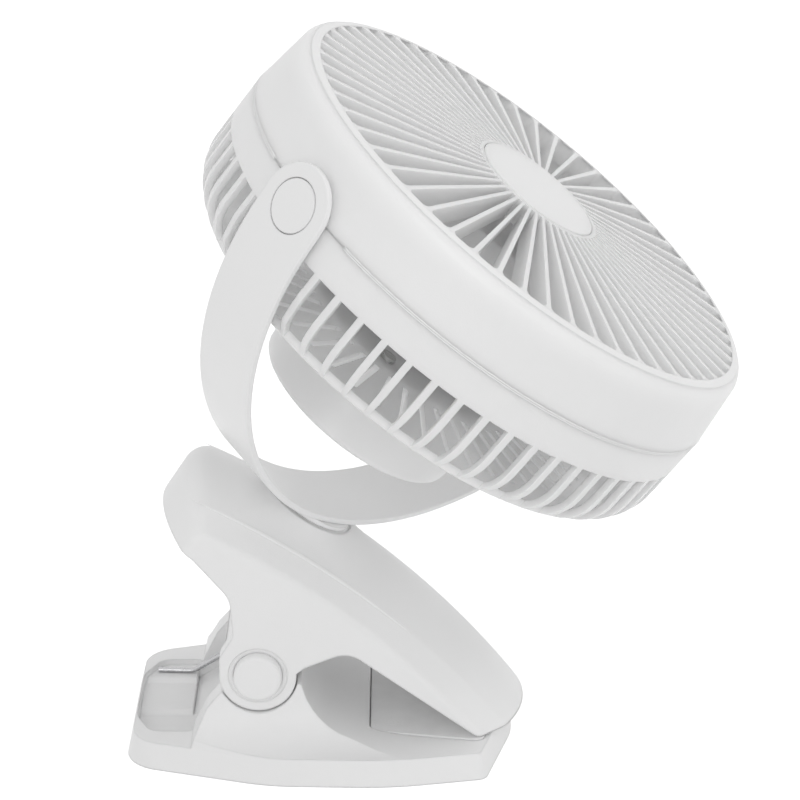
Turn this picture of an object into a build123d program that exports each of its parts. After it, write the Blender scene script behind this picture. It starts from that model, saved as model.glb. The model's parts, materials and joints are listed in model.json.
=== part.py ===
"""Clip fan: a round fan head in a swivelling yoke on a sprung desk clip.

Origin: centre of the clip's underside, which rests on the floor (z = 0).
X runs along the clip towards the tip of its jaws, Z is up. Lengths are mm.
The pose is the one photographed: clip closed, head tilted back and turned.
"""

import os
from math import cos, hypot, pi, radians, sin, sqrt, tan

from build123d import *

# ---- where the head sits ----
seat_x = -2.63              # swivel seat, on top of the clip
seat_height = 72.92
swivel_lean = 33.47         # swivel axis leans towards +X
swivel_turn = -46.7         # yoke turned about the swivel axis
head_tilt = 5.6             # head tilted in the yoke

# ---- head shell and grille, along the head's own axis (z forward) ----
shell_radius = 82.9         # at the seam
shell_taper = 0.4           # from the seam to the rear corner
shell_wall = 2.1
seam_z = 2.3
shell_back_z = -33.0
shell_corner = 15.0
plate_wall = 2.0
rim_front_z = 24.2
rim_taper = 3.0             # from the seam to the front edge
rim_round = 4.5
rim_land = 3.4              # flat ring outside the slots
rib_count = 56
rib_depth = 6.9
rib_root_width = 1.0
rib_tip_width = 1.5
slot_corner = 2.8
hub_radius = 20.7
slot_inner_radius = 21.2
hub_front_z = 28.0
hub_floor = 3.0
cap_radius = 19.7
cap_gap = 0.25
cap_thickness = 2.6
cap_crown = 0.4
vent_count = 60
vent_width = 6.5
vent_top_z = -8.8
vent_depth = 6.5            # cut inwards from the rear radius
vent_phase = 0.3
intake_count = 48
intake_width = 2.0
intake_inner = 40.0
intake_outer = 64.0

# ---- pod at the back ----
pod_base_radius = 36.0
pod_end_radius = 33.0
pod_end_z = -60.5
pod_wall = 1.8
pod_round = 2.5
pod_screw_ring = 30.2
pod_boss_radius = 2.9
button_radius = 6.5
button_proud = 0.7
button_travel = 0.5
button_gap = 0.15
lens_radius = 1.5
lens_offset = 13.0

# ---- motor and electrics ----
motor_radius = 14.2
motor_length = 28.0
motor_cup_wall = 2.0
motor_front_z = -12.4
shaft_radius = 1.5
shaft_tip_z = 10.2
bush_radius = 3.5
bush_length = 3.0
bush_clearance = 0.03
motor_screw_ring = 9.5
battery_size = (50.0, 34.0, 10.0)
board_radius = 25.8
board_thickness = 1.6
switch_size = 6.0
part_gap = 0.4              # between stacked inner parts
port_size = (8.4, 8.9, 3.3)  # length into the pod, width, height

# ---- impeller ----
blade_count = 7
blade_clearance = 6.5       # from the blade tips to the vents' inner ends
blade_thickness = 1.6
blade_mid_z = -1.5
fan_hub_radius = 30.0
fan_hub_front_radius = 19.0
fan_hub_front_z = 13.0
fan_hub_rear_z = -14.0
fan_hub_shoulder_z = -4.0
fan_hub_wall = 1.8

# ---- yoke and its pivots ----
yoke_wall = 2.0
yoke_room = 0.5             # between the shell's seam and the yoke
yoke_drop = 5.2             # centre of the yoke's half circle below the pivot
yoke_width = 24.3
yoke_edge = 0.5
head_clearance = 0.35
pivot_recess = 0.6          # pivot faces inside the seam's radius
pivot_boss_radius = 8.5
pivot_boss_length = 6.9
pivot_shoulder_radius = 4.5
pivot_cap_radius = 7.6
pivot_cap_gap = 0.3
pivot_web = 0.9             # strap left under the cap
running_fit = 0.06
pivot_washer_radius = 8.0
screw_radius = 1.2
screw_head_radius = 2.4
screw_head_height = 1.4
screw_gap = 0.05

# ---- swivel foot ----
swivel_disc_thickness = 1.2  # at its middle, under the yoke
swivel_disc_radius = 14.0
swivel_neck_radius = 6.0
swivel_bolt_radius = 1.9
swivel_bolt_head_radius = 3.8
swivel_bolt_head_height = 1.8
swivel_bolt_cover = 0.7     # left of the yoke's wall over the bolt's end
swivel_plate_radius = 10.0
swivel_plate_thickness = 1.8
face_gap = 0.1

# ---- clip ----
hinge_x = -17.4
hinge_z = 29.3
jaw_half_width = 30.0
jaw_wall = 2.6
shoulder_width = 7.0        # from the crown's ridge to the jaw's side
ridge_drop = 7.2            # ridge below the swivel disc's lower face
edge_drop = 13.2
crown_drop = 2.2
crown_length_radius = 261.2
crown_peak = 3.0            # along the slope from the swivel axis
nose_bow = 10.0             # nose's plan radius beyond the half width
nose_tip_x = 63.9
rear_bow = 10.0             # depth of the rear end's curve
rear_reach = 38.0           # behind the swivel axis along the slope
crest_round = 6.0
rear_round = 6.0
rear_corner_round = 3.0
seat_radius = 14.6
seat_wall = 7.1             # depth of the boss under the swivel seat
mound_spread = 7.0          # run-out of the rise under the swivel seat
mound_height = 6.8
lobe_radius = 11.5
lug_radius = 11.0
lobe_width = 6.0            # the jaw's lobes outside the lugs
lug_thickness = 5.1
lug_side_gap = 0.3
seat_gap = 0.5              # round the lobes, in the lower jaw
nose_bottom_z = 8.9
base_height = 8.0
base_draft = 14.0
tray_floor_z = 3.0
tray_step_y = -4.5          # front edge of the tray's middle step
tray_step_z = 4.7
tray_ledge_room = 1.9       # ledge in front of the coil's first turn
ear_flare = 14.5
ear_rear_top_z = 23.6
ear_front_top_z = 26.6
pad_thickness = 2.0
pad_top_z = 8.6
pad_gap = 0.3
mat_thickness = 1.0
mat_margin = 6.0
mat_gap = 0.2
pin_radius = 2.5
pin_press_gap = 0.02
pin_end_room = 1.6          # pin's end inside the jaw's side
hinge_cap_radius = 7.2
hinge_cap_proud = 3.0
hinge_groove_radius = 8.7
hinge_groove_depth = 0.9
upper_pad_thickness = 1.4

# ---- torsion spring ----
wire_radius = 0.8
coil_radius = 6.2
coil_pitch = 2.1
coil_turns = 6
coil_side_room = 2.0        # between the lug and the coil's first turn
coil_start_angle = -57.0
coil_end_angle = 30.0
upper_leg = 8.5
leg_tip_x = -51.5
leg_bend_radius = 5.0
leg_height = 7.0
spigot_radius = 4.9
leg_room = 2.9              # bay wider by this where the lower leg leaves it

# ---- sizes that follow ----
shell_rear_radius = shell_radius - shell_taper
seam_inner_radius = shell_radius - shell_wall
rim_radius = shell_radius - rim_taper
slot_outer_radius = rim_radius - rim_land - 0.6
vent_inner_radius = shell_rear_radius - vent_depth
blade_tip_radius = vent_inner_radius - blade_clearance
pivot_flat = shell_radius - pivot_recess
yoke_inner_radius = shell_radius + yoke_room
yoke_outer_radius = yoke_inner_radius + yoke_wall
yoke_floor = -yoke_drop - yoke_inner_radius
seat_drop = yoke_drop + yoke_outer_radius + swivel_disc_thickness
plate_top = -seat_drop - seat_wall - 2 * face_gap
plate_low = plate_top - swivel_plate_thickness

# ---- widths of the clip that follow from the jaw's ----
ridge_half_width = jaw_half_width - shoulder_width
nose_radius = jaw_half_width + nose_bow
rear_radius = (jaw_half_width**2 + rear_bow**2) / (2 * rear_bow)
lug_outer = jaw_half_width - lobe_width
lug_inner = lug_outer - lug_thickness
pin_half_length = jaw_half_width - pin_end_room
hinge_cap_face = jaw_half_width + hinge_cap_proud
coil_start_y = lug_inner - coil_side_room
tray_ledge_y = coil_start_y - tray_ledge_room
past_sides = 2 * jaw_half_width

# ---- frames ----
SEAT = Pos(seat_x, 0, seat_height) * Rot(0, swivel_lean, 0)
ARM = SEAT * Pos(0, 0, seat_drop)
YOKE = ARM * Rot(0, 0, swivel_turn)
HEAD = YOKE * Rot(0, head_tilt, 0)


# ---- small helpers ----
def outline(*corners):
    """Closed flat outline from corners given as (x, y, rounding)."""
    count = len(corners)
    points = [Vector(x, y) for x, y, _ in corners]
    if sum(points[i - 1].cross(points[i]).Z for i in range(count)) < 0:
        return outline(*reversed(corners))
    arcs = []
    for i, (_, _, radius) in enumerate(corners):
        corner = points[i]
        back = (points[i - 1] - corner).normalized()
        ahead = (points[(i + 1) % count] - corner).normalized()
        half = radians(back.get_angle(ahead)) / 2
        inward = (back + ahead).normalized() if radius else back
        middle = corner + inward * (radius / sin(half) - radius)
        cut = radius / tan(half)
        arcs.append((corner + back * cut, middle, corner + ahead * cut, radius))
    edges = []
    for i, (start, middle, end, radius) in enumerate(arcs):
        if radius:
            edges.append(ThreePointArc(start, middle, end).edge())
        following = arcs[(i + 1) % count][0]
        if (following - end).length > 1e-6:
            edges.append(Line(end, following).edge())
    return make_face(edges)


def mirrored(*corners):
    """Closed outline, symmetric about its x axis, from the corners on one side."""
    other = [(x, -y, r) for x, y, r in reversed(corners)]
    return outline(*corners, *other)


def turned(face):
    """Solid of revolution about Z from a profile given as (radius, z)."""
    return revolve(Plane.XZ * face, Axis.Z)


def side_prism(face, half_width):
    """Prism across Y from a side profile given as (x, z)."""
    return extrude(Plane.XZ * face, half_width, both=True)


def disc(radius, low, high):
    """Round bar along Z between two heights."""
    return Pos(0, 0, low) * extrude(Circle(radius), high - low)


def ring(inner, outer, low, high):
    """Round tube along Z between two heights."""
    return Pos(0, 0, low) * extrude(Circle(outer) - Circle(inner), high - low)


def across(shape):
    """The shape's Z axis turned to point along +Y."""
    return Rot(-90, 0, 0) * shape


def both_sides(shape):
    """A piece and its mirror image on the other side of the XZ plane."""
    return [shape, mirror(shape, Plane.XZ)]


def screw(length):
    """Small screw: shank along +Z from z = 0, head below it."""
    return disc(screw_radius, 0, length) + disc(screw_head_radius, -screw_head_height, 0)


def save(name, shape, frame=Location()):
    """Write one node, a single solid or several separate ones."""
    pieces = shape if isinstance(shape, list) else [shape]
    solids = [frame * solid for piece in pieces for solid in piece.solids()]
    node = solids[0] if len(solids) == 1 else Compound(children=solids)
    export_step(node, f"parts/{name}.step")


# ---- head: shell, grille and cap, in the head's frame ----
def swing_envelope():
    """Room that the yoke leaves for the head at every tilt, a solid round the tilt axis."""
    radius = yoke_inner_radius - head_clearance
    corner = yoke_drop + sqrt(radius**2 - pivot_flat**2)
    walls = Polyline((-pivot_flat, corner), (-pivot_flat, 0), (pivot_flat, 0), (pivot_flat, corner))
    bow = ThreePointArc((pivot_flat, corner), (0, yoke_drop + radius), (-pivot_flat, corner))
    half = make_face(walls.edges() + bow.edges())
    return revolve(Plane.YZ * half, Axis.Y)


def front_slots():
    """Prisms that leave the straight ribs standing."""
    root = slot_inner_radius * sin(pi / rib_count) - rib_root_width / 2
    tip = slot_outer_radius * sin(pi / rib_count) - rib_tip_width / 2
    slot = mirrored((slot_inner_radius, root, 0), (slot_outer_radius, tip, slot_corner))
    turn = 180 / rib_count
    slots = Sketch() + [place * slot for place in PolarLocations(0, rib_count, start_angle=turn)]
    return Pos(0, 0, seam_z + 5) * extrude(slots, hub_front_z)


def front_grille():
    cap_seat = cap_radius + cap_gap
    floor_top = hub_front_z - cap_thickness
    rib_bottom = rim_front_z - rib_depth
    wall_lean = (shell_radius - rim_radius) / (rim_front_z - seam_z)
    inner_top = seam_inner_radius - wall_lean * (rib_bottom - seam_z)
    profile = outline(
        (shell_radius, seam_z, 0),
        (rim_radius, rim_front_z, rim_round),
        (slot_outer_radius + 0.6, rim_front_z, 0.8),
        (hub_radius, hub_front_z, 0),
        (cap_seat, hub_front_z, 0),
        (cap_seat, floor_top, 0),
        (0, floor_top, 0),
        (0, floor_top - hub_floor, 0),
        (cap_radius / 2, floor_top - hub_floor, 0),
        (hub_radius, hub_front_z - rib_depth, 0),
        (slot_outer_radius, rib_bottom, 0),
        (inner_top, rib_bottom, 1.0),
        (seam_inner_radius, seam_z, 0),
    )
    grille = turned(profile) - front_slots()
    notch = across(disc(pivot_boss_radius + pivot_cap_gap, 0, shell_radius + 5))
    grille = grille - notch - mirror(notch, Plane.XZ)
    return grille & swing_envelope()


def grille_cap():
    face_z = hub_front_z + cap_crown
    profile = outline(
        (0, hub_front_z - cap_thickness, 0),
        (cap_radius, hub_front_z - cap_thickness, 0),
        (cap_radius, face_z - 0.2, 0.5),
        (0, face_z, 0),
    )
    return turned(profile)


def side_vents():
    """Slots down the side and round the rear corner, one between each pair of ribs."""
    depth = shell_radius + 5 - vent_inner_radius
    height = vent_top_z - shell_back_z + 5
    slot = Box(depth, vent_width, height, align=(Align.MIN, Align.CENTER, Align.MAX))
    places = PolarLocations(vent_inner_radius, vent_count, start_angle=90 + vent_phase + 3)
    return [Pos(0, 0, vent_top_z) * place * slot for place in places]


def intake_slots():
    """Fine radial slots in the flat rear plate."""
    length = intake_outer - intake_inner
    slot = Box(length, intake_width, plate_wall * 3, align=(Align.MIN, Align.CENTER, Align.CENTER))
    places = PolarLocations(intake_inner, intake_count)
    return [Pos(0, 0, shell_back_z) * place * slot for place in places]


def motor_screw_places():
    return [Pos(motor_screw_ring * side, 0, 0) for side in (-1, 1)]


def pod_screw_places():
    angles = (60, 120, 240, 300)
    return [Rot(0, 0, angle) * Pos(pod_screw_ring, 0, 0) for angle in angles]


def rear_shell():
    cup_inner = motor_radius + 0.2
    cup_outer = cup_inner + motor_cup_wall
    cup_front = motor_front_z + motor_cup_wall
    inner_back = shell_back_z + plate_wall
    rear_inner = shell_rear_radius - shell_wall
    profile = outline(
        (shell_radius, seam_z, 0),
        (shell_rear_radius, shell_back_z, shell_corner),
        (cup_inner, shell_back_z, 0),
        (cup_inner, motor_front_z, 0),
        (bush_radius + 1.5, motor_front_z, 0),
        (bush_radius + 1.5, cup_front, 0),
        (cup_outer, cup_front, 1.0),
        (cup_outer, inner_back, 0),
        (rear_inner, inner_back, shell_corner - shell_wall),
        (seam_inner_radius, seam_z, 0),
    )
    shell = turned(profile) - side_vents() - intake_slots()
    boss_start = pivot_flat - pivot_boss_length
    boss = across(disc(pivot_boss_radius, boss_start, pivot_flat))
    bore = across(disc(screw_radius + screw_gap, boss_start - 1, pivot_flat + 1))
    shell = (shell & swing_envelope()) + boss + mirror(boss, Plane.XZ)
    shell = shell - bore - mirror(bore, Plane.XZ)
    hole = disc(screw_radius + screw_gap, shell_back_z - 1, cup_front + 1)
    for place in motor_screw_places() + pod_screw_places():
        shell = shell - place * hole
    return shell


# ---- pod, motor and electrics, in the head's frame ----
pod_inner_z = pod_end_z + pod_wall
motor_back_z = motor_front_z - motor_length
battery_low_z = motor_back_z - part_gap - battery_size[2]
board_top_z = battery_low_z - part_gap
board_low_z = board_top_z - board_thickness
switch_end_z = board_low_z - 3.5


def pod_radius_at(z):
    share = (shell_back_z - z) / (shell_back_z - pod_end_z)
    return pod_base_radius + (pod_end_radius - pod_base_radius) * share


def port_block(grow, length):
    """Rounded block lying where the charging socket goes, its mouth at the pod's side."""
    mouth = pod_radius_at(board_low_z) - 0.6
    section = RectangleRounded(port_size[1] + 2 * grow, port_size[2] + 2 * grow, 1.3 + grow)
    height = board_low_z - port_size[2] / 2
    return Pos(-mouth, 0, height) * (Plane.YZ * extrude(section, length))


def pod_cover():
    profile = outline(
        (pod_base_radius, shell_back_z, 0),
        (pod_end_radius, pod_end_z, pod_round),
        (0, pod_end_z, 0),
        (0, pod_inner_z, 0),
        (pod_end_radius - pod_wall, pod_inner_z, 1.0),
        (pod_base_radius - pod_wall, shell_back_z, 0),
    )
    cover = turned(profile)
    for place in pod_screw_places():
        cover = cover + place * disc(pod_boss_radius, pod_inner_z, shell_back_z)
        cover = cover - place * disc(screw_radius + screw_gap, pod_inner_z + 4, shell_back_z)
    for angle in (0, 120, 240):
        post = disc(2.0, pod_inner_z, board_low_z)
        cover = cover + Rot(0, 0, angle + 30) * Pos(board_radius - 5, 0, 0) * post
    cover = cover - disc(button_radius + button_gap, pod_end_z - 1, pod_inner_z + 1)
    cover = cover - Pos(0, lens_offset, 0) * disc(lens_radius + 0.05, pod_end_z - 1, pod_inner_z + 1)
    return cover - Pos(-3, 0, 0) * port_block(0.2, 9)


def charging_port():
    shell = port_block(0, port_size[0])
    mouth = Pos(-1, 0, 0) * port_block(-0.35, port_size[0] - 0.6)
    tongue_frame = Pos(-pod_radius_at(board_low_z) + 1.6, 0, board_low_z - port_size[2] / 2)
    tongue = Box(port_size[0] - 1.6, 6.0, 0.7, align=(Align.MIN, Align.CENTER, Align.CENTER))
    return shell - mouth + tongue_frame * tongue


def power_button():
    flange = button_radius + 1.2
    face = pod_end_z - button_proud
    profile = outline(
        (0, face, 0),
        (button_radius, face, 0.6),
        (button_radius, pod_inner_z + face_gap, 0),
        (flange, pod_inner_z + face_gap, 0),
        (flange, pod_inner_z + face_gap + 1.0, 0),
        (2.0, pod_inner_z + face_gap + 1.0, 0),
        (2.0, switch_end_z - button_travel - face_gap, 0),
        (0, switch_end_z - button_travel - face_gap, 0),
    )
    return turned(profile)


def indicator_lens():
    return Pos(0, lens_offset, 0) * (
        disc(lens_radius, pod_end_z - 0.2, pod_inner_z + face_gap)
        + disc(lens_radius + 0.8, pod_inner_z, pod_inner_z + 1.0)
    )


def battery_pack():
    middle = battery_low_z + battery_size[2] / 2
    return Pos(0, 0, middle) * fillet(Box(*battery_size).edges().filter_by(Axis.Z), 2.5)


def circuit_board():
    board = disc(board_radius, board_low_z, board_top_z)
    board = board + Pos(0, 0, (switch_end_z + board_low_z) / 2) * Box(
        switch_size, switch_size, board_low_z - switch_end_z
    )
    return board + Pos(0, lens_offset, 0) * disc(1.0, board_low_z - 2.0, board_low_z)


def motor_can():
    can = disc(motor_radius, motor_back_z, motor_front_z)
    can = can + disc(bush_radius + 1.3, motor_front_z, motor_front_z + 1.5)
    can = can - disc(bush_radius, motor_front_z + 1.5 - bush_length, motor_front_z + 2)
    can = can - disc(bush_radius, motor_back_z - 1, motor_back_z + bush_length)
    can = can - disc(shaft_radius + 1.0, motor_back_z, motor_front_z)
    hole = disc(screw_radius + screw_gap, motor_front_z - 6, motor_front_z + 1)
    for place in motor_screw_places():
        can = can - place * hole
    return can


def motor_bushes():
    bore = shaft_radius + bush_clearance
    front_end = motor_front_z + 1.5
    return [
        ring(bore, bush_radius, front_end - bush_length, front_end),
        ring(bore, bush_radius, motor_back_z, motor_back_z + bush_length),
    ]


def motor_screws():
    seat = Pos(0, 0, motor_front_z + motor_cup_wall) * Rot(180, 0, 0)
    return [place * seat * screw(motor_cup_wall + 5) for place in motor_screw_places()]


def pod_screws():
    seat = Pos(0, 0, shell_back_z + plate_wall) * Rot(180, 0, 0)
    return [place * seat * screw(plate_wall + 8) for place in pod_screw_places()]


# ---- impeller, in the head's frame ----
def blade():
    """One twisted blade, lofted outwards along X through three sections."""
    stations = ((fan_hub_radius - 2.5, 27, 43), (50, 38, 33), (blade_tip_radius + 3, 47, 25))
    sections = []
    for radius, chord, pitch in stations:
        plane = Plane(origin=(radius, 0, blade_mid_z), x_dir=(0, 1, 0), z_dir=(1, 0, 0))
        sections.append(plane * Rot(0, 0, pitch) * Rectangle(chord, blade_thickness))
    return loft(sections)


def fan_blade():
    bore = shaft_radius + 0.01
    hollow = fan_hub_front_z - fan_hub_wall
    profile = outline(
        (bore, motor_front_z + 4.4, 0),
        (5.0, motor_front_z + 4.4, 0),
        (5.0, hollow, 0),
        (fan_hub_front_radius - 1, hollow, 0),
        (fan_hub_radius - fan_hub_wall, fan_hub_shoulder_z - 0.5, 0),
        (fan_hub_radius - fan_hub_wall, fan_hub_rear_z, 0),
        (fan_hub_radius, fan_hub_rear_z, 0),
        (fan_hub_radius, fan_hub_shoulder_z, 0),
        (fan_hub_front_radius, fan_hub_front_z, 2.0),
        (0, fan_hub_front_z, 0),
        (0, shaft_tip_z + 0.1, 0),
        (bore, shaft_tip_z + 0.1, 0),
    )
    inside = disc(fan_hub_radius - fan_hub_wall / 2, fan_hub_rear_z - 9, hollow)
    one = (blade() & disc(blade_tip_radius, -40, 40)) - inside
    blades = [Rot(0, 0, 360 / blade_count * i) * one for i in range(blade_count)]
    return turned(profile) + blades


def motor_shaft():
    return disc(shaft_radius, motor_back_z + 0.5, shaft_tip_z)


# ---- yoke and pivots, in the yoke's frame ----
def long_edges(strap):
    """Edges of the strap's two flat sides, without the round ends of its arms."""
    sides = strap.faces().filter_by(Axis.X)
    return [edge for edge in sides.edges() if (edge @ 0.5).Z < 0.5]


def yoke():
    arm_top = yoke_width / 2
    reach = yoke_outer_radius + yoke_drop + 1
    lower_half = Rectangle(2 * reach, reach, align=(Align.CENTER, Align.MAX))
    lower = (Circle(yoke_outer_radius) - Circle(yoke_inner_radius)) & lower_half
    arm = Rectangle(yoke_wall, arm_top + yoke_drop, align=(Align.MIN, Align.MIN))
    arms = Pos(yoke_inner_radius, -yoke_drop) * arm + Pos(-yoke_outer_radius, -yoke_drop) * arm
    strap = extrude(Plane.YZ * (Pos(0, -yoke_drop) * lower + arms), yoke_width / 2, both=True)
    side = Circle(arm_top) + Rectangle(yoke_width, reach, align=(Align.CENTER, Align.MAX))
    strap = strap & side_prism(side, yoke_outer_radius + 1)
    strap = fillet(long_edges(strap), yoke_edge)
    hole = disc(pivot_shoulder_radius + running_fit, yoke_inner_radius - 1, yoke_outer_radius + 1)
    seat = disc(pivot_cap_radius + pivot_cap_gap, yoke_inner_radius + pivot_web, yoke_outer_radius + 1)
    for cut in both_sides(across(hole + seat)):
        strap = strap - cut
    return strap - disc(swivel_bolt_radius + screw_gap, -reach, yoke_floor - swivel_bolt_cover)


def pivot_caps():
    shoulder_end = yoke_inner_radius + pivot_web + face_gap
    face = yoke_outer_radius + 0.2
    profile = outline(
        (0, pivot_flat, 0),
        (pivot_shoulder_radius, pivot_flat, 0),
        (pivot_shoulder_radius, shoulder_end, 0),
        (pivot_cap_radius, shoulder_end, 0),
        (pivot_cap_radius, face, 0.4),
        (0, face, 0),
    )
    cap = turned(profile) - disc(screw_radius + screw_gap, pivot_flat - 1, face - 0.8)
    return both_sides(across(cap))


def pivot_washers():
    bore = pivot_shoulder_radius + running_fit
    washer = ring(bore, pivot_washer_radius, pivot_flat, yoke_inner_radius - face_gap)
    return both_sides(across(washer))


def pivot_screws():
    start = pivot_flat - pivot_boss_length
    shank = yoke_outer_radius + 0.2 - 1.0 - start
    return both_sides(across(Pos(0, 0, start) * screw(shank)))


def swivel_disc():
    body = disc(swivel_disc_radius, -seat_drop, -seat_drop + 6)
    under_yoke = Rot(0, 90, 0) * Cylinder(yoke_outer_radius, yoke_width * 2)
    body = body - Pos(0, 0, -yoke_drop) * under_yoke
    body = body + disc(swivel_neck_radius, plate_top, -seat_drop)
    return body - disc(swivel_bolt_radius + screw_gap, plate_top - 1, -seat_drop + 7)


def swivel_screw():
    """Bolt from inside the jaw that holds the plate and the disc to the yoke."""
    head = disc(swivel_bolt_head_radius, plate_low - swivel_bolt_head_height, plate_low)
    head = fillet(head.edges().sort_by(Axis.Z)[0], 0.6)
    end = yoke_floor - swivel_bolt_cover - face_gap
    return head + disc(swivel_bolt_radius, plate_low, end)


def swivel_plate():
    return ring(swivel_bolt_radius + screw_gap, swivel_plate_radius, plate_low, plate_top)


# ---- clip: upper jaw ----
def jaw_side(inset):
    """Side view of the upper jaw: rear underside, hinge, throat and nose."""
    low_lobe = hinge_x - lobe_radius
    face = outline(
        (-52.0, 80.2, 0),
        (-36.0, 67.0, 7),
        (-25.4, 54.4, 9),
        (-24.5, 42.0, 6),
        (low_lobe + 0.05, 35.0, 4),
        (low_lobe + 0.05, hinge_z, 0),
        (hinge_x + 8, hinge_z - 2, 0),
        (-3.0, 32.0, 6),
        (9.5, 37.0, 8),
        (48.0, nose_bottom_z, 2),
        (70.0, nose_bottom_z, 0),
        (70.0, 110.0, 0),
        (-52.0, 110.0, 0),
    )
    if inset:
        face = offset(face, -inset, kind=Kind.INTERSECTION)
    return face


def jaw_form(inset):
    """Outer form of the upper jaw, or its hollow when inset by the wall."""
    side = side_prism(jaw_side(inset), jaw_half_width - inset)
    top, ridge, edge = -crown_drop - inset, -ridge_drop - inset, -edge_drop - inset
    half, ridge_half = jaw_half_width - inset, ridge_half_width - inset / 3
    skirt = Polyline((-ridge_half, ridge), (-half, edge), (-half, -95), (half, -95),
                     (half, edge), (ridge_half, ridge))
    arch = ThreePointArc((ridge_half, ridge), (0, top), (-ridge_half, ridge))
    section = make_face(skirt.edges() + arch.edges())
    sweep_half = 24.0
    centre = (crown_peak, 0, -crown_length_radius)
    section = Pos(crown_peak, 0, 0) * (Plane.YZ * section)
    section = section.rotate(Axis(centre, (0, 1, 0)), -sweep_half)
    crown = SEAT * revolve(section, Axis(centre, (0, 1, 0)), 2 * sweep_half)
    nose = Pos(nose_tip_x - nose_radius, 0) * Circle(nose_radius - inset)
    nose = nose + Pos(nose_tip_x - nose_radius, 0) * Rectangle(
        150, 2 * (nose_radius - inset), align=(Align.MAX, Align.CENTER)
    )
    plan = extrude(nose, 120)
    rear = Pos(rear_radius - rear_reach, 0) * Circle(rear_radius - inset)
    rear = rear + Pos(rear_radius - rear_reach, 0) * Rectangle(
        150, 2 * (rear_radius - inset), align=(Align.MIN, Align.CENTER)
    )
    tail = SEAT * Pos(0, 0, -110) * extrude(rear, 130)
    return side & crown & plan & tail


def hinge_disc(radius, low, high):
    """Round piece about the hinge pin between two distances from the middle plane."""
    return Pos(hinge_x, 0, hinge_z) * across(disc(radius, low, high))


def rear_edges(form, on_sides):
    """Edges round the jaw's rear end: its upright ones on the sides, or those on top."""
    tail = Plane(SEAT * Pos(rear_radius - rear_reach, 0, 0))
    found = []
    for edge in form.edges():
        at = tail.to_local_coords(edge @ 0.5)
        at_rear = at.X < 0 and abs(hypot(at.X, at.Y) - rear_radius) < 0.5
        beside = abs(abs(at.Y) - jaw_half_width) < 0.1
        on_top = not beside and at.Z > -1.5 * edge_drop
        if at_rear and (beside if on_sides else on_top):
            found.append(edge)
    return found


def soft_jaw():
    """Outer form of the upper jaw with its two crests and its rear end rounded."""
    form = jaw_form(0)
    along = form.edges().filter_by(lambda edge: abs(abs((edge @ 0.5).Y) - ridge_half_width) < 0.1)
    form = fillet(along.sort_by(SortBy.LENGTH)[-2:], crest_round)
    form = fillet(rear_edges(form, on_sides=False), rear_round)
    return fillet(rear_edges(form, on_sides=True), rear_corner_round)


def seat_mound():
    """Rise of the jaw under the swivel disc, running out into the crown."""
    profile = outline(
        (0, -face_gap, 0),
        (seat_radius, -face_gap, 0),
        (seat_radius + 1.2, -mound_height / 2, 6),
        (seat_radius + mound_spread, -mound_height, 0),
        (0, -mound_height, 0),
    )
    return SEAT * Rot(0, 0, 40) * turned(profile)


def upper_jaw():
    lobes_from = lug_outer + lug_side_gap
    lobe = hinge_disc(lobe_radius, -jaw_half_width, jaw_half_width)
    jaw = soft_jaw() + lobe + seat_mound()
    hollow = jaw_form(jaw_wall)
    for keep in both_sides(hinge_disc(lobe_radius + 2.5, lobes_from, past_sides)):
        hollow = hollow - keep
    hollow = hollow - SEAT * Rot(0, 0, 40) * disc(seat_radius, -seat_wall - face_gap, 5)
    jaw = jaw - hollow
    jaw = jaw - hinge_disc(lobe_radius + 1.4, -lobes_from, lobes_from)
    jaw = jaw - hinge_disc(pin_radius + running_fit, -past_sides, past_sides)
    for cut in both_sides(hinge_disc(hinge_groove_radius, jaw_half_width - hinge_groove_depth, past_sides)):
        jaw = jaw - cut
    jaw = jaw - SEAT * disc(swivel_neck_radius + running_fit, -10, 1)
    return jaw - upper_pad(pad_gap)


def upper_pad(grow=0.0):
    face = mirrored((50.0 - grow, 20.0 + grow, 1), (58.0 + grow, 15.0 + grow, 3))
    return Pos(0, 0, nose_bottom_z) * extrude(face, upper_pad_thickness + grow)


def hinge_caps():
    base = jaw_half_width - hinge_groove_depth
    profile = outline(
        (0, base, 0),
        (hinge_cap_radius, base, 0),
        (hinge_cap_radius, hinge_cap_face - 0.5, 1.2),
        (0, hinge_cap_face, 0),
    )
    cap = Pos(hinge_x, 0, hinge_z) * across(turned(profile))
    return both_sides(cap)


# ---- clip: lower jaw ----
def base_plan():
    return mirrored(
        (-57.7, jaw_half_width + 1.5, 13),
        (-14.0, jaw_half_width + 14.6, 60),
        (22.0, jaw_half_width + 15.6, 90),
        (50.5, jaw_half_width + 10.2, 4),
        (59.3, 9.0, 40),
    )


def pad_plan(grow=0.0):
    back, front = jaw_half_width - 5.0 + grow, jaw_half_width + 1.0 + grow
    return mirrored((16.0 - grow, back, 2), (49.5, front, 3), (55.5 + grow, 9.0, 20))


def tray():
    """Hollow for the fingers, stepped up towards a ledge under the spring's leg."""
    side = jaw_half_width - 5.6
    plan = mirrored((-55.4, 14.0, 12), (-50.5, side, 5), (-37.5, side, 2))
    ledge_z = leg_height - wire_radius - 0.05
    depth = 2 * base_height
    room = outline(
        (-jaw_half_width, tray_floor_z, 0),
        (tray_step_y, tray_floor_z, 1.0),
        (tray_step_y + 1.6, tray_step_z, 1.2),
        (tray_ledge_y - 1.0, tray_step_z, 1.0),
        (tray_ledge_y, ledge_z, 0.6),
        (jaw_half_width, ledge_z, 0),
        (jaw_half_width, depth, 0),
        (-jaw_half_width, depth, 0),
    )
    return extrude(plan, depth) & (Pos(-80, 0, 0) * extrude(Plane.YZ * room, 60))


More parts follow.
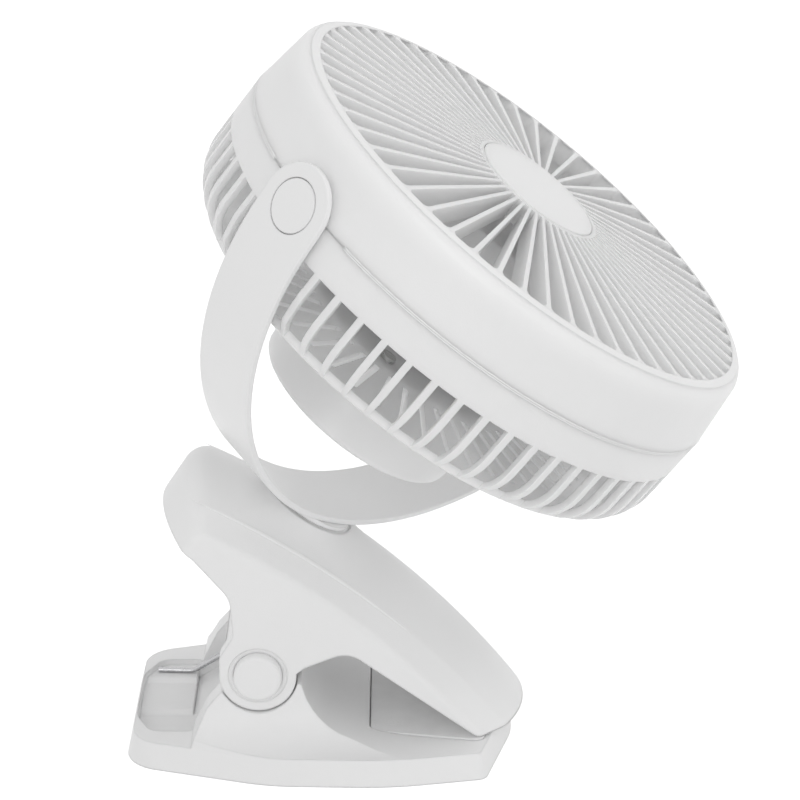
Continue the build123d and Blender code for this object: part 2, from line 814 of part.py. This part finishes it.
def ear_block():
    """Body of the lower jaw that rises from the base to the hinge."""
    flare = CenterArc((jaw_half_width + ear_flare, base_height + ear_flare), ear_flare, 180, 90)
    near = jaw_half_width + ear_flare
    over = 32.0
    walls = Polyline((near, base_height), (near, 4), (-near, 4), (-near, base_height))
    left = mirror(flare, Plane.YZ)
    roof = Polyline((-jaw_half_width, base_height + ear_flare), (-jaw_half_width, over),
                    (jaw_half_width, over), (jaw_half_width, base_height + ear_flare))
    front = make_face(flare.edges() + walls.edges() + left.edges() + roof.edges())
    across_x = Pos(-60, 0, 0) * extrude(Plane.YZ * front, 120)
    side = outline(
        (-38.5, 4, 0),
        (-36.9, 10.5, 3),
        (-32.8, 18.8, 6),
        (-28.7, ear_rear_top_z, 0.4),
        (-4.6, ear_front_top_z, 0.4),
        (-0.7, 14.4, 17),
        (19.9, 8.4, 50),
        (33.0, base_height - 0.2, 0),
        (33.0, 4, 0),
    )
    inner_plan = extrude(offset(base_plan(), -base_height * tan(radians(base_draft))), 40)
    return across_x & side_prism(side, past_sides) & inner_plan


def spring_bay():
    """Room for the coil and its lower leg, open to the finger tray."""
    bay = outline(
        (-39.0, tray_floor_z, 0),
        (-37.0, 4.2, 0),
        (-9.5, 21.8, 3),
        (-7.9, hinge_z, 0),
        (-7.9, 45, 0),
        (-39.0, 45, 0),
    )
    length, width = jaw_half_width, 4 * jaw_half_width
    behind_lugs = Pos(hinge_x - lug_radius - 0.8, 0, 0) * Box(
        length, width, width, align=(Align.MAX, Align.CENTER, Align.CENTER)
    )
    return side_prism(bay, lug_inner) + (side_prism(bay, lug_inner + leg_room) & behind_lugs)


def lower_jaw():
    base = extrude(base_plan(), base_height, taper=base_draft)
    jaw = base + ear_block() - tray() - spring_bay()
    for lug in both_sides(hinge_disc(lug_radius, lug_inner, lug_outer)):
        jaw = jaw + lug
    for seat in both_sides(hinge_disc(lobe_radius + seat_gap, lug_outer, past_sides)):
        jaw = jaw - seat
    spigot_end = coil_start_y - coil_turns * coil_pitch - 2
    jaw = jaw + hinge_disc(spigot_radius, spigot_end, lug_inner)
    jaw = jaw - hinge_disc(pin_radius + pin_press_gap, -past_sides, past_sides)
    pad_floor = pad_top_z - pad_thickness
    jaw = jaw - Pos(0, 0, pad_floor) * extrude(pad_plan(pad_gap), 10)
    return jaw - extrude(offset(base_plan(), -mat_margin + mat_gap), mat_thickness)


def lower_pad():
    return Pos(0, 0, pad_top_z - pad_thickness) * extrude(pad_plan(), pad_thickness)


def base_mat():
    return extrude(offset(base_plan(), -mat_margin), mat_thickness)


def hinge_pin():
    return hinge_disc(pin_radius, -pin_half_length, pin_half_length)


# ---- torsion spring ----
def coil_point(angle):
    """Point on the coil's centre line; it winds towards -Y as the angle grows."""
    turn = radians(angle)
    y = coil_start_y - coil_pitch * (angle - coil_start_angle) / 360
    return Vector(hinge_x + coil_radius * cos(turn), y, hinge_z + coil_radius * sin(turn))


def coil_direction(angle):
    turn = radians(angle)
    rise = -coil_pitch / (2 * pi)
    return Vector(-coil_radius * sin(turn), rise, coil_radius * cos(turn)).normalized()


def biarc(start, start_way, end, end_way):
    """Two arcs that join two points and keep both directions."""
    span = end - start
    both = start_way + end_way
    turn = 2 * (1 - start_way.dot(end_way))
    reach = span.dot(both)
    side = (-reach + sqrt(reach**2 + turn * span.dot(span))) / turn
    middle = (start + end) * 0.5 + (start_way - end_way) * (side / 2)
    first = TangentArc(start, middle, tangent=start_way)
    return [first, TangentArc(middle, end, tangent=first % 1)]


def spring_path():
    start, way = coil_point(coil_start_angle), coil_direction(coil_start_angle)
    run = (start.Z - leg_height) / way.Z
    knee = start - way * run
    back = Vector(-1, -way.Y, 0).normalized()
    cut = leg_bend_radius * tan(radians((way * -1).get_angle(back)) / 2)
    bend_in, bend_out = knee + back * cut, knee + way * cut
    tip = knee + back * (knee.X - leg_tip_x)
    path = [Line(tip, bend_in), TangentArc(bend_in, bend_out, tangent=back * -1)]
    path.append(Line(bend_out, start))
    last = 360 * coil_turns + coil_end_angle
    steps = 2 * coil_turns
    angles = [coil_start_angle + (last - coil_start_angle) * i / steps for i in range(steps + 1)]
    for a, b in zip(angles, angles[1:]):
        path += biarc(coil_point(a), coil_direction(a), coil_point(b), coil_direction(b))
    end, leave = coil_point(last), coil_direction(last)
    path.append(Line(end, end + leave * upper_leg))
    return path, tip, back


def least_gap(edges, step=0.5):
    """Least gap of the wire to itself, from points along its centre line."""
    points = []
    for edge in edges:
        count = max(1, round(edge.length / step))
        points += [edge @ (i / count) for i in range(count)]
    beyond = round(6 * wire_radius / step)
    pairs = ((a, b) for i, a in enumerate(points) for b in points[i + beyond:])
    return min((b - a).length for a, b in pairs) - 2 * wire_radius


def torsion_spring():
    path, tip, back = spring_path()
    edges = [edge for part in path for edge in part.edges()]
    print("spring: least gap to itself", round(least_gap(edges), 3), "mm")
    wire = Plane(origin=tip, z_dir=back * -1) * Circle(wire_radius)
    return sweep(wire, path=Wire(edges))


# ---- write every node ----
def main():
    os.makedirs("parts", exist_ok=True)
    head_parts = (front_grille, grille_cap, rear_shell, pod_cover, charging_port, power_button,
                  indicator_lens, battery_pack, circuit_board, motor_can, motor_bushes,
                  motor_screws, pod_screws, fan_blade, motor_shaft, pivot_caps, pivot_washers,
                  pivot_screws)
    yoke_parts = (yoke, swivel_disc, swivel_screw, swivel_plate)
    clip_parts = (upper_jaw, upper_pad, hinge_caps, lower_jaw, lower_pad, base_mat, hinge_pin,
                  torsion_spring)
    for frame, parts in ((HEAD, head_parts), (YOKE, yoke_parts), (Location(), clip_parts)):
        for part in parts:
            save(part.__name__, part(), frame)


if __name__ == "__main__":
    main()
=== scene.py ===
"""Looks of the clip fan: matt white mouldings, steel spring and screws, soft studio light.

Everything is in metres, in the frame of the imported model. Z is up, X runs along the clip.
"""

import json
from math import cos, pi, radians, sin, sqrt

import bmesh
import bpy
from mathutils import Matrix, Vector


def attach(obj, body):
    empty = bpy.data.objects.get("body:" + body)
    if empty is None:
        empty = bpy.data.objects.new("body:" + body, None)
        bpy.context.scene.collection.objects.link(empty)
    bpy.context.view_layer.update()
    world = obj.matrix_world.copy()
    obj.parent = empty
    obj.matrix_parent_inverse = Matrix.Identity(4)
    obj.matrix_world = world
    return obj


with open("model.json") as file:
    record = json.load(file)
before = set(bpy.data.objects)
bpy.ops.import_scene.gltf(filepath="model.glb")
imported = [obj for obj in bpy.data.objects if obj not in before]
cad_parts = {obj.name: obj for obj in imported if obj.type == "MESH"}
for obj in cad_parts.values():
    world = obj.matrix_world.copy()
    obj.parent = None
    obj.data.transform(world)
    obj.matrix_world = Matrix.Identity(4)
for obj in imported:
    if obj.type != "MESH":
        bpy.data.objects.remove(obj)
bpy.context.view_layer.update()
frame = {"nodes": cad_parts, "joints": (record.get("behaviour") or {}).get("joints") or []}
nodes = frame["nodes"]
scene = bpy.context.scene
MM = 0.001

# ---- photograph's viewpoint ----
camera_place = Vector((24.9, -779.2, 402.6)) * MM
camera_pitch = 69.14        # degrees from looking straight down
camera_lens = 126.0
camera_sensor = 36.0

# ---- light ----
fill_strength = 0.71        # even light from all round
key_power = 3.6
side_power = 2.3
floor_colour = (0.9, 0.9, 0.9)
floor_glow = 0.5            # lifts the floor to white for the camera alone
floor_size = 12.0
lit_middle = Vector((20, 0, 130)) * MM      # where both lamps point

# ---- plastic ----
white = (0.9, 0.9, 0.9)
thin_white = (0.92, 0.92, 0.92)
wall_glow = 0.8             # share of light that spreads inside the thin head mouldings
wall_glow_reach = 4 * MM

# ---- head, along its own axis from the tilt axis, in millimetres ----
rim_edge = (76.5, 24.2)     # where the ribs meet the rim (radius, height)
rim_round = 4.5
rim_round_start = 0.53      # the rounding begins this far inside that edge
rim_proud = 0.07
ribs_rise = 0.068           # the ribs' tops climb this much per millimetre towards the hub
seam = (82.9, 2.3)          # (radius, height)
seam_shape = ((-0.5, -0.02), (-0.25, 0.03), (-0.12, 0.03), (0.0, -0.04),
              (0.12, 0.03), (0.25, 0.03), (0.5, -0.02))     # (up, out) across the join
grille_lean = 0.137         # the grille's wall draws in this much per millimetre
pivot_clear = 13            # degrees of the seam left bare at each pivot
head_skin = 0.5             # thickness of the trim on the head

# ---- jaw's back, in its seat's own frame, in millimetres ----
seat_frame = Matrix.Translation(Vector((-2.63, 0, 72.92)) * MM) @ Matrix.Rotation(radians(33.47), 4, "Y")
crown_low = -2.2            # middle of the back below the seat
crown_across = 55.4         # radius across the jaw
crown_along = 261.2         # radius along it
crown_middle = 3.0
crest_half = 23.0           # the back's long edges
rise_inner = 14.65          # beside the swivel disc
rise_reach = 31.0
rise_top = -0.1
rise_skin = 1.2
rise_proud, rise_sunk = 0.06, 0.05      # over the back beside the disc, under it at the outer edge
crest_from, crest_to = -34.0, 44.0      # along the seat's X
crest_half_width, crest_height = 0.75, 0.3
crest_sunk = 0.08
crest_lean = radians(32)    # slope of the back at its edge

# ---- hinge covers, in millimetres ----
hinge = (-17.4, 29.3)
jaw_side = 30.0
dish_inner, dish_outer = 7.15, 8.76
dish_depth = 0.72
dish_back = 0.15            # thickness behind the deepest point
dish_proud = 0.02


# ---- node helpers ----
def material(name):
    """A new material with its Principled shader and output, ready to wire."""
    made = bpy.data.materials.new(name)
    made.use_nodes = True
    tree = made.node_tree
    shader = tree.nodes["Principled BSDF"]
    return made, tree, shader


def node(tree, kind, **values):
    """A shader node; its values are inputs by name, or properties written with a leading underscore."""
    made = tree.nodes.new(kind)
    for key, value in values.items():
        if key.startswith("_"):
            setattr(made, key[1:], value)
        else:
            made.inputs[key.replace("_", " ")].default_value = value
    return made


def noise(tree, scale, detail):
    """Solid noise in the object's own metres."""
    place = node(tree, "ShaderNodeTexCoord")
    made = node(tree, "ShaderNodeTexNoise", Scale=scale, Detail=detail)
    tree.links.new(place.outputs["Object"], made.inputs["Vector"])
    return made


def spread(tree, source, low, high):
    """Maps the middle of a noise's values to a range."""
    made = node(tree, "ShaderNodeMapRange", From_Min=0.3, From_Max=0.7, To_Min=low, To_Max=high)
    tree.links.new(source, made.inputs["Value"])
    return made.outputs["Result"]


def soft_edges(tree, radius):
    """A normal that rounds sharp edges."""
    return node(tree, "ShaderNodeBevel", _samples=4, Radius=radius).outputs["Normal"]


def grain(tree, shader, scale, depth, edge):
    """Fine surface grain; edge is the radius of the softened edges, 0 for none."""
    bump = node(tree, "ShaderNodeBump", Strength=1.0, Distance=depth)
    tree.links.new(noise(tree, scale, detail=3.0).outputs["Fac"], bump.inputs["Height"])
    if edge:
        tree.links.new(soft_edges(tree, edge), bump.inputs["Normal"])
    tree.links.new(bump.outputs["Normal"], shader.inputs["Normal"])


def tinted(tree, shader, colour, amount, scale):
    """Base colour with slow, faint variation."""
    mix = node(tree, "ShaderNodeMix", _data_type="RGBA")
    darker = tuple(c * (1 - amount) for c in colour)
    mix.inputs["A"].default_value = (*darker, 1)
    mix.inputs["B"].default_value = (*colour, 1)
    patches = noise(tree, scale, detail=4.0)
    tree.links.new(spread(tree, patches.outputs["Fac"], 0, 1), mix.inputs["Factor"])
    tree.links.new(mix.outputs["Result"], shader.inputs["Base Color"])


# ---- materials ----
def moulded(name, colour, rough, grain_depth=0.00003, edge=0.0004, thin=False):
    """Injection moulded plastic: fine grain, slow gloss variation; thin walls pass some light."""
    made, tree, shader = material(name)
    tinted(tree, shader, colour, 0.02, 18)
    if thin:
        shader.inputs["Subsurface Weight"].default_value = wall_glow
        shader.inputs["Subsurface Radius"].default_value = (1, 1, 1)
        shader.inputs["Subsurface Scale"].default_value = wall_glow_reach
    gloss = noise(tree, 45, detail=5.0)
    roughness = spread(tree, gloss.outputs["Fac"], rough - 0.05, rough + 0.06)
    tree.links.new(roughness, shader.inputs["Roughness"])
    shader.inputs["IOR"].default_value = 1.48
    grain(tree, shader, 2600, grain_depth, edge)
    return made


def rubber(name, colour):
    """Soft matt rubber with a pebbled skin and a little dust."""
    made, tree, shader = material(name)
    tinted(tree, shader, colour, 0.12, 60)
    dust = noise(tree, 220, detail=6.0)
    tree.links.new(spread(tree, dust.outputs["Fac"], 0.65, 0.85), shader.inputs["Roughness"])
    grain(tree, shader, 1400, 0.00008, 0.0003)
    return made


def metal(name, colour, rough, brush=(1, 1, 1), edge=0.0002):
    """Drawn or plated metal; brush stretches the fine scratches along an axis."""
    made, tree, shader = material(name)
    shader.inputs["Metallic"].default_value = 1.0
    tinted(tree, shader, colour, 0.08, 120)
    place = node(tree, "ShaderNodeTexCoord")
    along = node(tree, "ShaderNodeMapping", Scale=brush)
    scratch = node(tree, "ShaderNodeTexNoise", Scale=900.0, Detail=4.0)
    tree.links.new(place.outputs["Object"], along.inputs["Vector"])
    tree.links.new(along.outputs["Vector"], scratch.inputs["Vector"])
    roughness = spread(tree, scratch.outputs["Fac"], rough - 0.08, rough + 0.12)
    tree.links.new(roughness, shader.inputs["Roughness"])
    bump = node(tree, "ShaderNodeBump", Strength=0.5, Distance=0.00002)
    tree.links.new(scratch.outputs["Fac"], bump.inputs["Height"])
    tree.links.new(soft_edges(tree, edge), bump.inputs["Normal"])
    tree.links.new(bump.outputs["Normal"], shader.inputs["Normal"])
    return made


def circuit_green(name):
    """Solder mask with copper tracks showing as slightly lighter lines."""
    made, tree, shader = material(name)
    place = node(tree, "ShaderNodeTexCoord")
    cells = node(tree, "ShaderNodeTexBrick", Scale=160.0, Mortar_Size=0.06)
    cells.inputs["Color1"].default_value = (0.02, 0.16, 0.07, 1)
    cells.inputs["Color2"].default_value = (0.025, 0.19, 0.09, 1)
    cells.inputs["Mortar"].default_value = (0.05, 0.28, 0.13, 1)
    tree.links.new(place.outputs["Object"], cells.inputs["Vector"])
    tree.links.new(cells.outputs["Color"], shader.inputs["Base Color"])
    shader.inputs["Roughness"].default_value = 0.35
    return made


def clear_lens(name):
    """Milky light guide."""
    made, tree, shader = material(name)
    tinted(tree, shader, (0.86, 0.9, 0.93), 0.03, 300)
    shader.inputs["Roughness"].default_value = 0.25
    shader.inputs["Transmission Weight"].default_value = 0.35
    return made


def dress():
    """Gives each carried-over node its material."""
    shell = moulded("shell_white", thin_white, 0.42, edge=0.0002, thin=True)
    grille = moulded("grille_white", thin_white, 0.4, edge=0, thin=True)
    clip = moulded("clip_white", white, 0.46, grain_depth=0.00004, edge=0.0009)
    impeller = moulded("impeller_white", thin_white, 0.34, grain_depth=0.00001, thin=True)
    trim = moulded("trim_white", white, 0.38, edge=0.0005)
    steel = metal("screw_steel", (0.62, 0.62, 0.61), 0.3)
    dress_as = {
        shell: ("rear_shell", "pod_cover"),
        grille: ("front_grille", "grille_cap"),
        clip: ("upper_jaw", "lower_jaw"),
        impeller: ("fan_blade",),
        trim: ("yoke", "swivel_disc", "pivot_caps", "hinge_caps", "pivot_washers", "power_button"),
        steel: ("swivel_screw", "swivel_plate", "pivot_screws", "motor_screws", "pod_screws",
                "motor_shaft", "hinge_pin"),
        metal("spring_wire", (0.56, 0.56, 0.57), 0.24, edge=0.0001): ("torsion_spring",),
        metal("motor_can_metal", (0.66, 0.67, 0.68), 0.32, brush=(1, 1, 6)): ("motor_can",),
        metal("sintered_bronze", (0.62, 0.44, 0.24), 0.5): ("motor_bushes",),
        metal("cell_foil", (0.72, 0.73, 0.75), 0.36): ("battery_pack",),
        metal("port_plating", (0.6, 0.6, 0.61), 0.3): ("charging_port",),
        circuit_green("board_green"): ("circuit_board",),
        clear_lens("lens_milky"): ("indicator_lens",),
        rubber("pad_rubber", (0.92, 0.92, 0.92)): ("lower_pad", "upper_pad"),
        rubber("mat_rubber", (0.5, 0.5, 0.5)): ("base_mat",),
    }
    for finish, names in dress_as.items():
        for name in names:
            nodes[name].data.materials.clear()
            nodes[name].data.materials.append(finish)


# ---- fine forms ----
def skinned(name, loops, closed):
    """A smooth mesh through loops of points; closed joins the last loop to the first, else caps both."""
    made = bmesh.new()
    rows = [[made.verts.new(point) for point in loop] for loop in loops]
    pairs = list(zip(rows, rows[1:] + rows[:1])) if closed else list(zip(rows, rows[1:]))
    for here, there in pairs:
        for i in range(len(here)):
            made.faces.new((here[i - 1], there[i - 1], there[i], here[i]))
    if not closed:
        made.faces.new(rows[0])
        made.faces.new(rows[-1])
    bmesh.ops.recalc_face_normals(made, faces=made.faces)
    mesh = bpy.data.meshes.new(name)
    made.to_mesh(mesh)
    made.free()
    mesh.shade_smooth()
    piece = bpy.data.objects.new(name, mesh)
    scene.collection.objects.link(piece)
    return piece


def full_turn(steps):
    """Angles of equal steps round a full turn."""
    return [2 * pi * step / steps for step in range(steps)]


# ---- fine forms of the clip ----
def on_clip(piece, finish):
    """Dresses a piece and lets it ride with the upper jaw."""
    piece.data.materials.append(finish)
    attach(piece, "upper_clip")


def crown_height(x, y):
    """Height of the jaw's back in the seat's frame."""
    low = crown_low - crown_across + sqrt(crown_across ** 2 - y * y)
    return sqrt((crown_along + low) ** 2 - (x - crown_middle) ** 2) - crown_along


def jaw_rise(finish):
    """The back's slow rise to the swivel, over the seat's steeper one."""
    steps = 18
    loops = []
    for angle in full_turn(120):
        ahead, beside = cos(angle), sin(angle)
        reach = min(rise_reach, crest_half / max(abs(beside), 0.1))
        lift = rise_top - crown_height(rise_inner * ahead, rise_inner * beside)
        top = []
        for step in range(steps + 1):
            out = step / steps
            x, y = (part * (rise_inner + (reach - rise_inner) * out) for part in (ahead, beside))
            proud = rise_proud - (rise_proud + rise_sunk) * out
            top.append((x, y, crown_height(x, y) + lift * (1 - out) ** 2 + proud))
        under = [(x, y, z - rise_skin) for x, y, z in reversed(top)]
        loops.append([seat_frame @ (Vector(point) * MM) for point in top + under])
    on_clip(skinned("jaw_rise", loops, closed=True), finish)


def jaw_crest(name, side, finish):
    """The fine line along the back's edge, fading out at both ends."""
    steps = 60
    across = crest_half_width * Vector((0, side * cos(crest_lean), -sin(crest_lean)))
    up = crest_height * Vector((0, side * sin(crest_lean), cos(crest_lean)))
    loops = []
    for step in range(steps + 1):
        along = step / steps
        x = crest_from + (crest_to - crest_from) * along
        fade = max(0.02, sin(pi * along)) ** 0.5
        middle = Vector((x, side * crest_half, crown_height(x, crest_half) - crest_sunk))
        loops.append([seat_frame @ ((middle + fade * (cos(turn) * across + sin(turn) * up)) * MM)
                      for turn in full_turn(12)])
    on_clip(skinned(name, loops, closed=False), finish)


def hinge_dish(name, side, finish):
    """Shallow hollow between a hinge cover and the jaw's side."""
    steps = 8
    section = []
    for step in range(steps + 1):
        out = step / steps
        section.append((dish_inner + (dish_outer - dish_inner) * out,
                        jaw_side + dish_proud - dish_depth * (1 - out) ** 1.6))
    section += [(radius, jaw_side - dish_depth - dish_back) for radius, _ in reversed(section)]
    x, z = hinge
    loops = [[Vector((x + radius * cos(angle), side * out, z + radius * sin(angle))) * MM
              for radius, out in section] for angle in full_turn(72)]
    on_clip(skinned(name, loops, closed=True), finish)


# ---- fine forms of the head ----
def joint(name):
    """A joint's entry in the record."""
    return next(entry for entry in frame["joints"] if entry["name"] == name)


def head_frame():
    """Frame of the head at rest: Z along the fan's axis, Y along the tilt axis."""
    forward, beside = (Vector(joint(name)["axis"]).normalized() for name in ("fan_spin", "head_tilt"))
    turned = Matrix((beside.cross(forward), beside, forward)).transposed().to_4x4()
    return Matrix.Translation(Vector(joint("head_tilt")["pos_m"])) @ turned


def head_loop(section, angle, place):
    """A section of (radius, height) turned to an angle round the fan's axis."""
    return [place @ (Vector((radius * cos(angle), radius * sin(angle), height)) * MM)
            for radius, height in section]


def on_head(piece, finish):
    """Dresses a piece and lets it ride with the head."""
    piece.data.materials.append(finish)
    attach(piece, "fan_head")


def rim_blend(finish):
    """Soft line where the rim's round edge runs into the ribs."""
    place = head_frame()
    land, front = rim_edge
    top = []
    for step in range(11):
        radius = land + 1.7 - 0.26 * step
        if radius > land:
            over = radius - (land - rim_round_start)
            height = (front - rim_round) + sqrt(rim_round ** 2 - over ** 2)
        else:
            height = front + (land - radius) * ribs_rise
        top.append((radius, height + rim_proud))
    section = top + [(radius, height - head_skin) for radius, height in reversed(top)]
    loops = [head_loop(section, angle, place) for angle in full_turn(240)]
    on_head(skinned("rim_blend", loops, closed=True), finish)


def seam_line(name, side, finish):
    """Shallow soft line over the join of shell and grille, from pivot to pivot."""
    place = head_frame()
    edge, height = seam
    outer = [(edge + out - grille_lean * max(0.0, up), height + up) for up, out in seam_shape]
    section = outer + [(radius - head_skin, up) for radius, up in reversed(outer)]
    sweep = pi - 2 * radians(pivot_clear)
    first = radians(pivot_clear) + (pi / 2 if side < 0 else -pi / 2)
    steps = 140
    loops = [head_loop(section, first + sweep * step / steps, place) for step in range(steps + 1)]
    on_head(skinned(name, loops, closed=False), finish)


def fine_forms():
    """Adds the fine forms over the solids."""
    finish = bpy.data.materials["clip_white"]
    # The crest bead is a real fine ridge, but its white is lighter than the jaw's own white: a painted
    # highlight along the edge.
    line = moulded("crest_painted_highlight", thin_white, 0.3, grain_depth=0.00001, edge=0)
    jaw_rise(finish)
    edging = moulded("head_edging", white, 0.42, edge=0)
    rim_blend(edging)
    for side, where in ((-1, "rear"), (1, "front")):
        seam_line("seam_line_" + where, side, edging)
    for side, where in ((-1, "near"), (1, "far")):
        jaw_crest("jaw_crest_" + where, side, line)
        hinge_dish("hinge_dish_" + where, side, finish)


# ---- studio ----
def white_world():
    """Even white surroundings; seen directly or in a mirror they are plain white."""
    world = bpy.data.worlds.new("studio")
    scene.world = world
    world.use_nodes = True
    tree = world.node_tree
    light = tree.nodes["Background"]
    light.inputs["Color"].default_value = (1, 1, 1, 1)
    light.inputs["Strength"].default_value = fill_strength
    seen = node(tree, "ShaderNodeBackground", Strength=1.0)
    seen.inputs["Color"].default_value = (1, 1, 1, 1)
    mix = node(tree, "ShaderNodeMixShader")
    tree.links.new(seen_directly(tree), mix.inputs["Fac"])
    tree.links.new(light.outputs["Background"], mix.inputs[1])
    tree.links.new(seen.outputs["Background"], mix.inputs[2])
    tree.links.new(mix.outputs["Shader"], tree.nodes["World Output"].inputs["Surface"])


def seen_directly(tree):
    """1 for rays from the camera, mirrors and glass, else 0."""
    path = node(tree, "ShaderNodeLightPath")
    total = path.outputs["Is Camera Ray"]
    for other in ("Is Glossy Ray", "Is Transmission Ray"):
        add = node(tree, "ShaderNodeMath", _operation="MAXIMUM")
        tree.links.new(total, add.inputs[0])
        tree.links.new(path.outputs[other], add.inputs[1])
        total = add.outputs["Value"]
    return total


def pale_floor():
    """A wide pale floor that keeps the soft shadow and reads as white."""
    bpy.ops.mesh.primitive_plane_add(size=floor_size, location=(0, 0, 0))
    floor = bpy.context.object
    floor.name = "floor"
    made, tree, shader = material("floor_pale")
    shader.inputs["Base Color"].default_value = (*floor_colour, 1)
    shader.inputs["Roughness"].default_value = 0.9
    shader.inputs["Specular IOR Level"].default_value = 0.0
    glow = node(tree, "ShaderNodeEmission")
    lift = node(tree, "ShaderNodeMath", _operation="MULTIPLY")
    lift.inputs[1].default_value = floor_glow
    tree.links.new(seen_directly(tree), lift.inputs[0])
    tree.links.new(lift.outputs["Value"], glow.inputs["Strength"])
    both = node(tree, "ShaderNodeAddShader")
    tree.links.new(shader.outputs["BSDF"], both.inputs[0])
    tree.links.new(glow.outputs["Emission"], both.inputs[1])
    tree.links.new(both.outputs["Shader"], tree.nodes["Material Output"].inputs["Surface"])
    floor.data.materials.append(made)


def softbox(name, place, size, power):
    """A square soft light aimed at the fan."""
    lamp = bpy.data.lights.new(name, "AREA")
    lamp.size = size
    lamp.energy = power
    box = bpy.data.objects.new(name, lamp)
    box.location = place
    box.rotation_euler = (lit_middle - box.location).to_track_quat("-Z", "Y").to_euler()
    scene.collection.objects.link(box)


def studio():
    """Floor, lamps and the photograph's camera."""
    white_world()
    pale_floor()
    softbox("key", Vector((-0.1, -1.5, 0.75)), 0.9, key_power)
    softbox("side", Vector((0.9, -0.1, 1.3)), 0.6, side_power)
    lens = bpy.data.cameras.new("camera")
    lens.lens = camera_lens
    lens.sensor_width = camera_sensor
    lens.clip_start, lens.clip_end = 0.01, 50.0
    camera = bpy.data.objects.new("camera", lens)
    camera.location = camera_place
    camera.rotation_euler = (radians(camera_pitch), 0, 0)
    scene.collection.objects.link(camera)
    scene.camera = camera
    scene.view_settings.view_transform = "Standard"


dress()
fine_forms()
studio()
